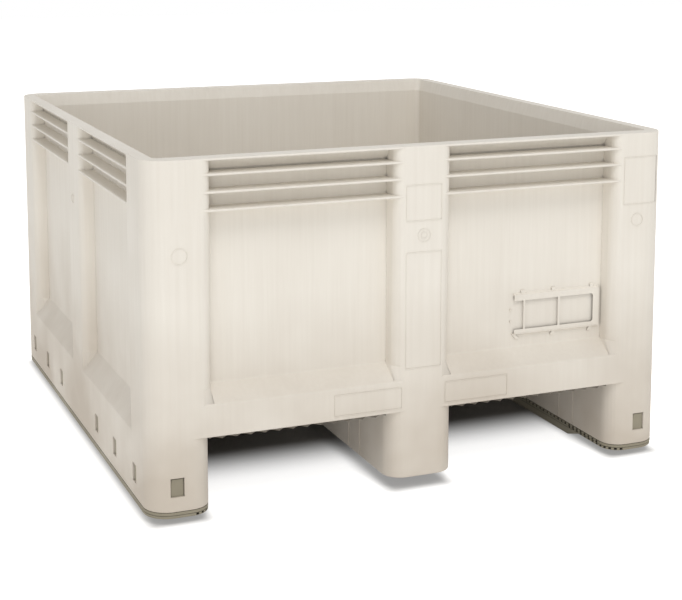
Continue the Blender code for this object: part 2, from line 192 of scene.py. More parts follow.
def raise_faces(bm: BMesh, faces: Iterable[BMFace], move: Point) -> None:
    """Extrudes faces by a vector into a closed body."""
    made = bmesh.ops.extrude_face_region(bm, geom=list(faces))["geom"]
    bmesh.ops.translate(bm, vec=move, verts=[item for item in made if isinstance(item, BMVert)])
    bmesh.ops.recalc_face_normals(bm, faces=bm.faces)


def weld(bm: BMesh, reach: float) -> None:
    """Joins points nearer than the reach, and takes out what has no length or area then."""
    bmesh.ops.remove_doubles(bm, verts=bm.verts, dist=reach)
    bmesh.ops.dissolve_degenerate(bm, edges=bm.edges, dist=WELD)


def open_edges(bm: BMesh, test: Callable[[Vector], bool]) -> list[BMEdge]:
    """The edges with fewer than two faces whose ends both pass a test."""
    return [edge for edge in bm.edges if len(edge.link_faces) < 2 and all(test(v.co) for v in edge.verts)]


def closed_loop(bm: BMesh, points: Iterable[Vector]) -> list[BMEdge]:
    """Draws a closed loop of edges through new points."""
    corners = [bm.verts.new(point) for point in points]
    return [bm.edges.new(pair) for pair in zip(corners, corners[1:] + corners[:1])]


def start_skin(bm: BMesh, points: Iterable[Vector], number: BMLayerItem) -> list[BMEdge]:
    """Starts a skin with one flat face in an empty mesh.

    Args:
        bm: The mesh.
        points: The face's corners.
        number: The layer that takes each corner's number.

    Returns:
        The face's edges.
    """
    ring = closed_loop(bm, points)
    for i, vert in enumerate(bm.verts):
        vert[number] = i
    bm.faces.new(bm.verts)
    return ring


def extend_skin(
    bm: BMesh, ring: list[BMEdge], place: Callable[[BMVert], Vector],
) -> tuple[list[BMEdge], list[BMFace]]:
    """Extrudes a skin's last edges to its next level.

    Args:
        bm: The skin.
        ring: The edges to go on from.
        place: Gives the place of each new point.

    Returns:
        The new level's edges, and the faces that lead to it.
    """
    made = bmesh.ops.extrude_edge_only(bm, edges=ring)["geom"]
    verts = {item for item in made if isinstance(item, BMVert)}
    for vert in verts:
        vert.co = place(vert)
    edges = [item for item in made if isinstance(item, BMEdge) and verts.issuperset(item.verts)]
    return edges, [item for item in made if isinstance(item, BMFace)]


def rounded_path(points: Sequence[tuple[float, float]], radius: float, steps: int = 4) -> list[Vector]:
    """A path with its inner corners rounded.

    Args:
        points: The path's corners.
        radius: How far before and after a corner the curve starts and ends.
        steps: Parts that each curve has.

    Returns:
        The points of the rounded path.
    """
    corners = [Vector(point) for point in points]
    path = [corners[0]]
    for before, corner, after in zip(corners, corners[1:], corners[2:]):
        start = corner + (before - corner).normalized() * radius
        end = corner + (after - corner).normalized() * radius
        for i in range(steps + 1):
            t = i / steps
            path.append(start * (1 - t) ** 2 + corner * 2 * t * (1 - t) + end * t * t)
    return [*path, corners[-1]]


def value_at(path: Sequence[Vector], height: float) -> float:
    """Depth of a falling path at a height, straight between its points."""
    for above, below in zip(path, path[1:]):
        if above.x >= height >= below.x and above.x > below.x:
            return above.y + (below.y - above.y) * (above.x - height) / (above.x - below.x)
    return path[0].y if height > path[0].x else path[-1].y


def round_back(past: float, radius: float) -> float:
    """How far a quarter round has turned in at a distance past its start, from 0 up to its radius."""
    past = max(0.0, min(radius, past))
    return radius - math.sqrt(radius**2 - past**2)


# ---- the tub


@dataclass(frozen=True)
class Column:
    """One upright line of the tub's outer skin.

    Attributes:
        wall: The wall that it is on, or that its corner comes after.
        along: Its place along the wall.
        angle: How far round the corner it is, in radians, or None on the wall itself.
        bay: How deep the bays reach here.
        sill: How deep they reach at the sill, where their ends spread out.
        pocket: How far back the legs' round corners stand here, or the leg's whole round in a pocket.
    """

    wall: Wall
    along: float
    angle: float | None = None
    bay: float = 0.0
    sill: float = 0.0
    pocket: float = 0.0


@dataclass(frozen=True)
class Station:
    """One level of the tub's outer skin.

    Attributes:
        height: Height above the ground.
        front: How deep the front and back bays are at this level.
        side: How deep the side bays are.
        inset: How far the whole outline stands back, at the rim's round edge.
        pocket: How far back the fork pockets are cut.
    """

    height: float
    front: float = 0.0
    side: float = 0.0
    inset: float = 0.0
    pocket: float = 0.0


@dataclass(frozen=True)
class Bay:
    """A recess between two posts.

    Attributes:
        start: Half the width of the centre post, where the bay starts.
        end: Where it ends, at the corner post.
        depth: How deep it is.
        depth_at_rim: How deep it is under the rim, where the wall flares out.
        post_round: Radius of the post's edge.
        panel_bottom: Height at which the flat panel meets the sloping sill.
        sill_edge: Height of the sill's outer edge.
        draft: How much the flank leans.
        flank_spread: Power of the curve by which the flanks spread out at the sill.
        sill_rise: How far above the panel's foot the sill's plan starts to show.
        sill_turn: Power of the curve by which it takes over on the way down.
        section_round: How far from a corner of the section its round starts.
        below_sill: How far the section goes on straight down below the sill's edge.
    """

    start: float
    end: float
    depth: float
    depth_at_rim: float
    post_round: float
    panel_bottom: float
    sill_edge: float
    draft: float = 0.002
    flank_spread: float = 1.25
    sill_rise: float = 0.035
    sill_turn: float = 1.5
    section_round: float = 0.003
    below_sill: float = 0.03

    def lines(self, steps: int) -> list[float]:
        """Places along the wall, from the middle out, where the bay's plan has a point."""
        turns = [math.sin(math.pi / 2 * i / steps) * self.post_round for i in range(steps + 1)]
        turns.append(self.post_round + self.draft)
        return [self.start + turn for turn in turns] + [self.end - turn for turn in reversed(turns)]

    def inwards(self, along: float) -> float:
        """How far a place along the wall is inside the bay."""
        return min(abs(along) - self.start, self.end - abs(along))

    def sill_depth_at(self, along: float) -> float:
        """How deep the plan is at the sill, where both flanks spread out."""
        share = max(0.0, self.inwards(along)) / (self.post_round + self.draft)
        return self.depth * min(1.0, share) ** self.flank_spread

    def sill_share(self, height: float) -> float:
        """How much of the sill's plan shows at a height, from 0 on the panel to 1 at the sill's edge."""
        start = self.panel_bottom + self.sill_rise
        share = (start - height) / (start - self.sill_edge)
        return max(0.0, min(1.0, share)) ** self.sill_turn

    def depth_at(self, along: float) -> float:
        """How deep the plan is at a place along the wall."""
        inwards = self.inwards(along)
        if inwards < self.post_round:
            return round_back(inwards, self.post_round)
        lean = min(1.0, (inwards - self.post_round) / self.draft)
        return self.post_round + (self.depth - self.post_round) * lean

    def section(self, top: float, bottom: float) -> list[Vector]:
        """Heights and depths down the bay, from the top past the sill's edge to the bottom or lower."""
        low = min(self.sill_edge - self.below_sill, bottom)
        corners = ((top, self.depth), (self.panel_bottom, self.depth), (self.sill_edge, 0.0), (low, 0.0))
        return rounded_path(corners, self.section_round)


@dataclass
class Tub:
    """The one-piece moulding: walls, posts, rim, fins, floor and three legs.

    Its outer skin is a stack of rings, each with one point for every column.
    """

    size: BinSize
    corner_radius: float = 0.050
    corner_steps: int = 14
    round_steps: int = 8
    wall: float = 0.005
    floor_top: float = 0.200
    floor_round: float = 0.018
    flare_bend: float = 0.010
    inner_radius: float = 0.014
    rim_front: float = 0.038
    rim_side: float = 0.028
    rim_thickness: float = 0.005
    edge_round: float = 0.0018
    root_round: float = 0.0025
    fin_bottoms: tuple[float, ...] = (0.666, 0.6325, 0.598)
    fin_thickness: float = 0.005
    leg_bottom: float = 0.026
    leg_round: float = 0.040
    side_leg_width: float = 0.125
    centre_leg_half: float = 0.073
    beam_bottom: float = 0.164
    beam_skin: float = 0.005
    leg_skin: float = 0.005
    leg_hollow: float = 0.120
    window_low: float = 0.0555
    window_high: float = 0.0935
    window_half: float = 0.014
    window_bevel: float = 0.0006
    window_draft: float = 0.0003
    window_depth: float = 0.006
    skin_band: float = 0.004
    front_window_from_side: float = 0.055
    side_windows: tuple[float, ...] = (0.180, 0.340, 0.500)
    least_turn: float = 0.03
    front_bay: Bay = field(init=False)
    side_bay: Bay = field(init=False)
    columns: list[Column] = field(init=False)

    def __post_init__(self) -> None:
        """Lays out the bays and the columns."""
        self.front_bay = Bay(
            start=0.0416, end=self.size.half_width - 0.1087, depth=0.042, depth_at_rim=0.028,
            post_round=0.020, panel_bottom=0.258, sill_edge=0.227,
        )
        self.side_bay = Bay(
            start=0.045, end=self.size.half_depth - 0.1286, depth=0.031, depth_at_rim=0.020,
            post_round=0.016, panel_bottom=0.199, sill_edge=0.155,
        )
        self.columns = self._columns()

    @property
    def pocket_near(self) -> float:
        """Where a pocket starts, at the centre leg."""
        return self.centre_leg_half

    @property
    def pocket_far(self) -> float:
        """Where a pocket ends, at the side leg."""
        return self.size.half_width - self.side_leg_width

    def bay(self, wall: Wall) -> Bay:
        """The bay that a wall has."""
        return self.front_bay if wall.has_pockets else self.side_bay

    def pocket_depth_at(self, along: float) -> float:
        """How far back the round corner of a leg stands at a place along the front wall."""
        past_near = abs(along) - (self.pocket_near - self.leg_round)
        past_far = self.pocket_far + self.leg_round - abs(along)
        return round_back(min(past_near, past_far), self.leg_round)

    def windows(self, wall: Wall) -> list[float]:
        """Middles of the windows along a wall."""
        if wall.has_pockets:
            middles = (self.size.half_width - self.front_window_from_side,)
        else:
            middles = self.side_windows
        return [sign * middle for sign in (-1, 1) for middle in middles]

    def _columns(self) -> list[Column]:
        """Every upright line of the skin, once round the bin."""
        columns = []
        for wall in Wall:
            bay, flat = self.bay(wall), self.size.half_length(wall) - self.corner_radius
            places = {0.0, flat, *bay.lines(self.round_steps)}
            if wall.has_pockets:
                for i in range(self.round_steps + 1):
                    back = self.leg_round * (1 - math.sin(math.pi / 2 * i / self.round_steps))
                    places |= {self.pocket_near - back, self.pocket_far + back}
            edges = {middle + sign * self.window_half for middle in self.windows(wall) for sign in (-1, 1)}
            places |= {edge for edge in edges if 0 < edge < flat}
            right = sorted(places)
            for along in [-place for place in reversed(right[1:])] + right:
                pocket = self.pocket_depth_at(along) if wall.has_pockets else 0.0
                depths = (bay.depth_at(along), bay.sill_depth_at(along), pocket)
                columns.append(Column(wall, along, None, *depths))
            columns += [Column(wall, flat, angle) for angle in self._corner_angles(wall)]
        return columns

    def _corner_angles(self, wall: Wall) -> list[float]:
        """Angles of the columns round the corner after a wall, one of them at the front window's edge."""
        past_flat = self.corner_radius + self.window_half - self.front_window_from_side
        turn = math.asin(past_flat / self.corner_radius)
        edge = turn if wall.has_pockets else math.pi / 2 - turn
        even = (math.pi / 2 * i / self.corner_steps for i in range(1, self.corner_steps))
        return sorted({edge, *(angle for angle in even if abs(angle - edge) > self.least_turn)})

    def outer_point(self, column: Column, station: Station) -> Vector:
        """Where a column crosses a level of the outer skin, in world coordinates."""
        if column.angle is None:
            deep = station.front if column.wall.has_pockets else station.side
            share = self.bay(column.wall).sill_share(station.height)
            plan = column.bay + (max(column.bay, column.sill) - column.bay) * share
            along = column.along
            back = max(station.inset, min(plan, deep), min(column.pocket, station.pocket))
        else:
            reach = self.corner_radius - station.inset
            along = column.along + reach * math.sin(column.angle)
            back = self.corner_radius - reach * math.cos(column.angle)
        return self.size.to_world(column.wall) @ Vector((along, back, station.height))

    def inner_point(self, column: Column, front: float, side: float, height: float) -> Vector:
        """Where a column's partner stands on the inside of the tub.

        Args:
            column: The column.
            front: How far the inside stands back from the front and back faces.
            side: How far it stands back from the side faces.
            height: Height above the ground.

        Returns:
            The point, in world coordinates.
        """
        back, other = (front, side) if column.wall.has_pockets else (side, front)
        radius = self.inner_radius
        reach = self.size.half_length(column.wall) - other - radius
        if column.angle is None:
            along = max(-reach, min(reach, column.along))
        else:
            along = reach + radius * math.sin(column.angle)
            back += radius * (1 - math.cos(column.angle))
        return self.size.to_world(column.wall) @ Vector((along, back, height))

    def depths(self, height: float) -> tuple[float, float]:
        """Depth of the front and side bays at a height, with the flare under the rim."""
        start = self.fin_bottoms[0] + self.fin_thickness
        flare = max(0.0, (height - start) / (self.size.height - self.rim_thickness - start))
        front, side = (
            bay.depth + (bay.depth_at_rim - bay.depth) * flare for bay in (self.front_bay, self.side_bay)
        )
        return front, side

    def ledge(self, height: float, up: int) -> list[Station]:
        """Levels where a rim or fin stands out from the panel.

        Args:
            height: Height of its flat face.
            up: 1 where the panel is above that face, and -1 where it is below.

        Returns:
            The levels, going down.
        """
        front, side = self.depths(height)
        root, edge = self.root_round, self.edge_round
        levels = [
            Station(height + up * root, *self.depths(height + up * root)),
            Station(height + up * root * 0.3, front - root * 0.3, side - root * 0.3),
            Station(height, front - root, side - root),
            Station(height - up * edge * 0.1, edge, edge),
            Station(height - up * edge * 0.4, edge * 0.4, edge * 0.4),
            Station(height - up * edge * 1.1, 0.0, 0.0),
        ]
        return levels if up > 0 else levels[::-1]

    def outer_stations(self) -> list[Station]:
        """Levels of the outer skin from the rim down to the beams' lower edge."""
        top, edge = self.size.height, self.edge_round
        levels = [Station(top, inset=edge), Station(top - edge * 0.3, inset=edge * 0.3), Station(top - edge)]
        levels += self.ledge(top - self.rim_thickness, -1)
        for bottom in self.fin_bottoms:
            levels += self.ledge(bottom + self.fin_thickness, 1) + self.ledge(bottom, -1)
        end = self.beam_bottom + edge
        front, side = (self._section(bay) for bay in (self.front_bay, self.side_bay))
        heights = {round(point.x, 5) for point in [*front, *side] if round(point.x, 5) > end}
        levels += [Station(h, value_at(front, h), value_at(side, h)) for h in sorted(heights, reverse=True)]
        lower = (end, self.beam_bottom + edge * 0.3, self.beam_bottom, self.beam_bottom)
        backs = (0.0, edge * 0.3, edge, self.beam_skin)
        return levels + [Station(h, 0.0, value_at(side, h), pocket=back) for h, back in zip(lower, backs)]

    def leg_stations(self) -> list[Station]:
        """Levels of the legs from the beams' lower edge down to their feet."""
        side = self._section(self.side_bay)
        heights = {self.beam_bottom, self.window_high, self.window_low, self.leg_bottom}
        heights |= {round(point.x, 5) for point in side if point.x < self.beam_bottom}
        falling = sorted(heights, reverse=True)
        return [Station(h, 0.0, value_at(side, h), pocket=self.leg_round) for h in falling]

    def _section(self, bay: Bay) -> list[Vector]:
        """A bay's section from the lowest fin to the beams' lower edge or past it."""
        return bay.section(self.fin_bottoms[-1] - 2 * self.root_round, self.beam_bottom + self.edge_round)

    def build(self, finish: bpy.types.Material) -> bpy.types.Object:
        """Models the tub."""
        bm = bmesh.new()
        number = bm.verts.layers.int.new("column")
        ring = self._inside(bm, number)
        for station in self.outer_stations():
            ring = self._skin_down(bm, number, ring, station)
        in_pocket = {e for e in ring if all(self._in_pocket(self.columns[v[number]]) for v in e.verts)}
        ceiling = Station(self.floor_top - self.wall, pocket=self.beam_skin)
        self._skin_down(bm, number, [edge for edge in ring if edge in in_pocket], ceiling)
        ring = [edge for edge in ring if edge not in in_pocket]
        for station in self.leg_stations():
            ring = self._skin_down(bm, number, ring, station)
        self._leg_walls(bm)
        weld(bm, WELD)
        self._close_pockets(bm)
        self._leg_hollows(bm)
        bmesh.ops.recalc_face_normals(bm, faces=bm.faces)
        self._cut_windows(bm)
        return finish_piece(bm, "tub", finish, "bin_body")

    def _skin_down(
        self, bm: BMesh, number: BMLayerItem, ring: list[BMEdge], station: Station,
    ) -> list[BMEdge]:
        """Takes the outer skin from a ring of edges on to a station."""
        return extend_skin(bm, ring, lambda vert: self.outer_point(self.columns[vert[number]], station))[0]

    def _in_pocket(self, column: Column) -> bool:
        """Whether a column is in a pocket, or at its edge."""
        if not column.wall.has_pockets or column.angle is not None:
            return False
        return self.pocket_near - WELD <= abs(column.along) <= self.pocket_far + WELD

    def _inside(self, bm: BMesh, number: BMLayerItem) -> list[BMEdge]:
        """Models the floor, the inner walls and the top of the rim.

        Args:
            bm: An empty mesh.
            number: The layer that holds the number of each point's column.

        Returns:
            The edges at the rim, where the outer skin goes on.
        """
        front, side = self.front_bay.depth + self.wall, self.side_bay.depth + self.wall
        levels = []
        for i in range(self.round_steps + 1):
            turn = math.pi / 2 * i / self.round_steps
            away = self.floor_round * (1 - math.sin(turn))
            rise = self.floor_round * (1 - math.cos(turn))
            levels.append((front + away, side + away, self.floor_top + rise))
        flare = self.fin_bottoms[0] + self.fin_thickness
        edge, top = self.edge_round, self.size.height
        bend = self.flare_bend
        for level in rounded_path(((flare - 5 * bend, 0.0), (flare, 0.0), (top - edge, 1.0)), bend)[:-1]:
            out = max(0.0, level.y)
            levels.append((
                front + (self.rim_front - front) * out, side + (self.rim_side - side) * out, level.x,
            ))
        for away, drop in ((0.0, edge), (-edge * 0.3, edge * 0.3), (-edge, 0.0)):
            levels.append((self.rim_front + away, self.rim_side + away, top - drop))
        ring = start_skin(bm, [self.inner_point(column, *levels[0]) for column in self.columns], number)
        for level in levels[1:]:
            ring, _ = extend_skin(bm, ring, lambda v: self.inner_point(self.columns[v[number]], *level))
        return ring

    def _leg_walls(self, bm: BMesh) -> None:
        """Joins each leg's front and back ends with its long walls in the pockets."""
        bmesh.ops.remove_doubles(bm, verts=bm.verts, dist=WELD)
        mouth = self.size.half_depth - self.leg_round
        for across in (self.pocket_near, self.pocket_far, -self.pocket_near, -self.pocket_far):
            ends = open_edges(bm, lambda p: abs(p.x - across) < WELD and abs(abs(p.y) - mouth) < WELD)
            bmesh.ops.bridge_loops(bm, edges=ends)

    def _close_pockets(self, bm: BMesh) -> None:
        """Fills the pockets' long upper walls and their ceilings."""
        ceiling = self.floor_top - self.wall
        back = self.size.half_depth - self.beam_skin
        for side in Side:
            for across in (self.pocket_near, self.pocket_far):
                x = side.value * across
                ends = [Vector((x, y, ceiling)) for y in (-back, back)]
                bmesh.ops.contextual_create(
                    bm, geom=[v for v in bm.verts if any((v.co - end).length < PICK for end in ends)],
                )
                wall = open_edges(bm, lambda p: abs(p.x - x) < PICK and p.z > self.beam_bottom - PICK)
                bmesh.ops.edgeloop_fill(bm, edges=wall)
            loop = open_edges(bm, lambda p: abs(p.z - ceiling) < PICK and p.x * side.value > 0)
            bmesh.ops.edgeloop_fill(bm, edges=loop)

    def _leg_hollows(self, bm: BMesh) -> None:
        """Closes each leg below with a rounded rim of plastic round a deep hollow."""
        limit = self.pocket_near + self.leg_round
        at_foot = open_edges(bm, lambda p: abs(p.z - self.leg_bottom) < WELD)
        places = [(edge.verts[0].co.x > limit) - (edge.verts[0].co.x < -limit) for edge in at_foot]
        for leg in (-1, 0, 1):
            loop = [edge for edge, place in zip(at_foot, places) if place == leg]
            face = bmesh.ops.edgeloop_fill(bm, edges=loop)["faces"][0]
            bmesh.ops.inset_region(bm, faces=[face], thickness=self.leg_skin, use_even_offset=True)
            made = bmesh.ops.extrude_discrete_faces(bm, faces=[face])["faces"]
            bmesh.ops.translate(bm, vec=(0, 0, self.leg_hollow), verts=made[0].verts)
        rim = [
            edge for edge in bm.edges
            if all(abs(v.co.z - self.leg_bottom) < WELD for v in edge.verts)
            and any(abs(face.normal.z) < 0.5 for face in edge.link_faces)
        ]
        round_edges(bm, rim, self.leg_skin / 2, clamp=False)
        weld(bm, PICK)

    def _cut_windows(self, bm: BMesh) -> None:
        """Sinks the windows for the runners' tabs into the legs' outer skin."""
        for wall in Wall:
            to_wall = self.size.to_world(wall).inverted()
            for middle in self.windows(wall):
                faces = [
                    face for face in bm.faces if self._in_window(to_wall @ face.calc_center_median(), middle)
                ]
                steps = ((self.window_bevel, self.window_bevel), (self.window_draft, -self.window_depth))
                for inset, depth in steps:
                    bmesh.ops.inset_region(
                        bm, faces=faces, thickness=inset, depth=depth, use_even_offset=True,
                        use_boundary=True,
                    )

    def _in_window(self, place: Vector, middle: float) -> bool:
        """Whether a place, in a wall's own axes, is on its skin in the window with this middle."""
        beside = abs(place.x - middle) < self.window_half and -self.skin_band < place.y < self.skin_band
        return beside and self.window_low < place.z < self.window_high


# ---- ribs, marks, runners and card holder


@dataclass(frozen=True)
class FloorRibs:
    """The close lattice of ribs that hangs under the floor in both fork pockets.

    Attributes:
        size: The bin's box.
        low: Height of the ribs' lower edge.
        high: Height of their upper edge, inside the floor.
        near: Where a lattice starts, across the bin.
        far: Where it ends.
        from_face: How far from the bin's ends it stops.
        pitch: Distance between two ribs.
        rib: Thickness of a rib.
    """

    size: BinSize
    low: float = 0.1545
    high: float = 0.1955
    near: float = 0.0725
    far: float = 0.4405
    from_face: float = 0.0070
    pitch: float = 0.0205
    rib: float = 0.0042

    def build(self, finish: bpy.types.Material) -> bpy.types.Object:
        """Models both pockets' ribs."""
        bm = bmesh.new()
        for side in Side:
            add_to(bm, self._lattice(side))
        return finish_piece(bm, "floor_ribs", finish, "bin_body")

    def _lattice(self, side: Side) -> BMesh:
        """Models one pocket's ribs, on the slant."""
        middle = side.value * (self.near + self.far) / 2
        across, along = (self.far - self.near) / 2, self.size.half_depth - self.from_face
        count = 2 * math.ceil(math.hypot(across, along) / self.pitch)
        bm = bmesh.new()
        turn = Matrix.Translation((middle, 0, self.low)) @ Matrix.Rotation(math.pi / 4, 4, "Z")
        bmesh.ops.create_grid(
            bm, x_segments=count, y_segments=count, size=count * self.pitch / 2, matrix=turn,
        )
        past = [face for face in bm.faces if max(abs(v.co.y) for v in face.verts) > along]
        bmesh.ops.delete(bm, geom=past, context="FACES")
        cells = bm.faces[:]
        bmesh.ops.inset_individual(bm, faces=cells, thickness=self.rib / 2, use_even_offset=True)
        bmesh.ops.delete(bm, geom=cells, context="FACES")
        for sign in (-1, 1):
            bmesh.ops.bisect_plane(
                bm, geom=[*bm.verts, *bm.edges, *bm.faces], dist=WELD,
                plane_co=(middle + sign * across, 0, 0), plane_no=(sign, 0, 0), clear_outer=True,
            )
        raise_faces(bm, bm.faces[:], (0, 0, self.high - self.low))
        return bm


@dataclass(frozen=True)
class MouldMarks:
    """Low ridges that the mould leaves: bare discs, frames round bare fields, and parting lines.

    Attributes:
        size: The bin's box.
        proud: How far a ridge stands out.
        root: How far it reaches into the skin.
        line: Its width.
        corner_radius: Radius of the tub's corners.
        disc_steps: Points of a disc's ring.
        frame_steps: Points along a frame's upper and lower side.
        discs: Place along the front wall, height and radius of each disc.
        frames: Left, right, low and high of each frame on the front wall.
        side_disc: The disc on each side wall.
        pocket_walls: Place across the bin of a pocket's walls, and which way along X is into the pocket.
        parting_lines: How far from the bin's ends the lines on those walls stand.
        line_low: Height at which they start.
        line_high: Height at which they end.
    """

    size: BinSize
    proud: float = 0.0011
    root: float = 0.001
    line: float = 0.0013
    corner_radius: float = 0.050
    disc_steps: int = 40
    frame_steps: int = 14
    discs: tuple[tuple[float, float, float], ...] = (
        (-0.500, 0.519, 0.016), (0.0005, 0.521, 0.014), (0.0005, 0.521, 0.007), (0.494, 0.516, 0.014),
    )
    frames: tuple[tuple[float, float, float, float], ...] = (
        (-0.039, 0.039, 0.550, 0.623), (-0.039, 0.039, 0.251, 0.488), (0.460, 0.544, 0.549, 0.650),
        (-0.191, -0.046, 0.172, 0.216), (0.049, 0.191, 0.172, 0.216),
    )
    side_disc: tuple[float, float, float] = (-0.0075, 0.530, 0.010)
    pocket_walls: tuple[tuple[float, int], ...] = ((0.073, 1), (0.440, -1))
    parting_lines: tuple[float, ...] = (0.155, 0.215)
    line_low: float = 0.031
    line_high: float = 0.1935

    def build(self, finish: bpy.types.Material) -> bpy.types.Object:
        """Models the marks on the front, the back and the sides."""
        bm = bmesh.new()
        for wall in (Wall.FRONT, Wall.BACK):
            for disc in self.discs:
                add_to(bm, self._disc(*disc), self.size.to_world(wall))
            for frame_box in self.frames:
                add_to(bm, self._frame(*frame_box), self.size.to_world(wall))
        for wall in (Wall.LEFT, Wall.RIGHT):
            add_to(bm, self._disc(*self.side_disc), self.size.to_world(wall))
        for side in Side:
            for across, inwards in self.pocket_walls:
                for back in self.parting_lines:
                    for end in (-1, 1):
                        y = end * (self.size.half_depth - back)
                        add_to(bm, self._parting_line(side.value * across, side.value * inwards, y))
        return finish_piece(bm, "mould_marks", finish, "bin_body")

    def _ridge(self, *loops: Sequence[Vector]) -> BMesh:
        """Raises a closed ridge between two loops on a wall."""
        bm = bmesh.new()
        edges = [edge for points in loops for edge in closed_loop(bm, points)]
        faces = bmesh.ops.bridge_loops(bm, edges=edges)["faces"]
        raise_faces(bm, faces, (0, -self.proud - self.root, 0))
        return bm

    def _disc(self, along: float, height: float, radius: float) -> BMesh:
        """Raises a ring."""
        turns = [math.tau * i / self.disc_steps for i in range(self.disc_steps)]
        return self._ridge(*(
            [Vector((along + r * math.cos(t), self.root, height + r * math.sin(t))) for t in turns]
            for r in (radius, radius - self.line)
        ))

    def _frame(self, left: float, right: float, low: float, high: float) -> BMesh:
        """Raises a four-sided frame that follows the wall round its corner."""
        loops = []
        for i in (0.0, self.line):
            count = self.frame_steps
            steps = [left + i + (right - left - 2 * i) * n / count for n in range(count + 1)]
            plan = [(x, low + i) for x in steps] + [(x, high - i) for x in reversed(steps)]
            loops.append([Vector((x, self.root + self._skin_depth(x), z)) for x, z in plan])
        return self._ridge(*loops)

    def _skin_depth(self, along: float) -> float:
        """How far the front wall's skin stands back at a place along it, at its round corners."""
        return round_back(abs(along) - (self.size.half_width - self.corner_radius), self.corner_radius)

    def _parting_line(self, x: float, inwards: int, y: float) -> BMesh:
        """Raises an upright line on a leg's long wall, at x, standing out along X towards the pocket."""
        left, right = sorted((x - inwards * self.root, x + inwards * self.proud))
        half = self.line / 2
        return block((left, y - half, self.line_low), (right, y + half, self.line_high))


@dataclass(frozen=True)
class Lug:
    """A small lug that fixes the card holder to the panel.

    Attributes:
        middle: Middle of its lower end along the wall.
        bottom: Its lowest height, from the edge of the holder that it is on.
        top: Its highest height, from the same edge.
        lean: How far its upper end is shifted along the wall.
    """

    middle: float
    bottom: float
    top: float
    lean: float


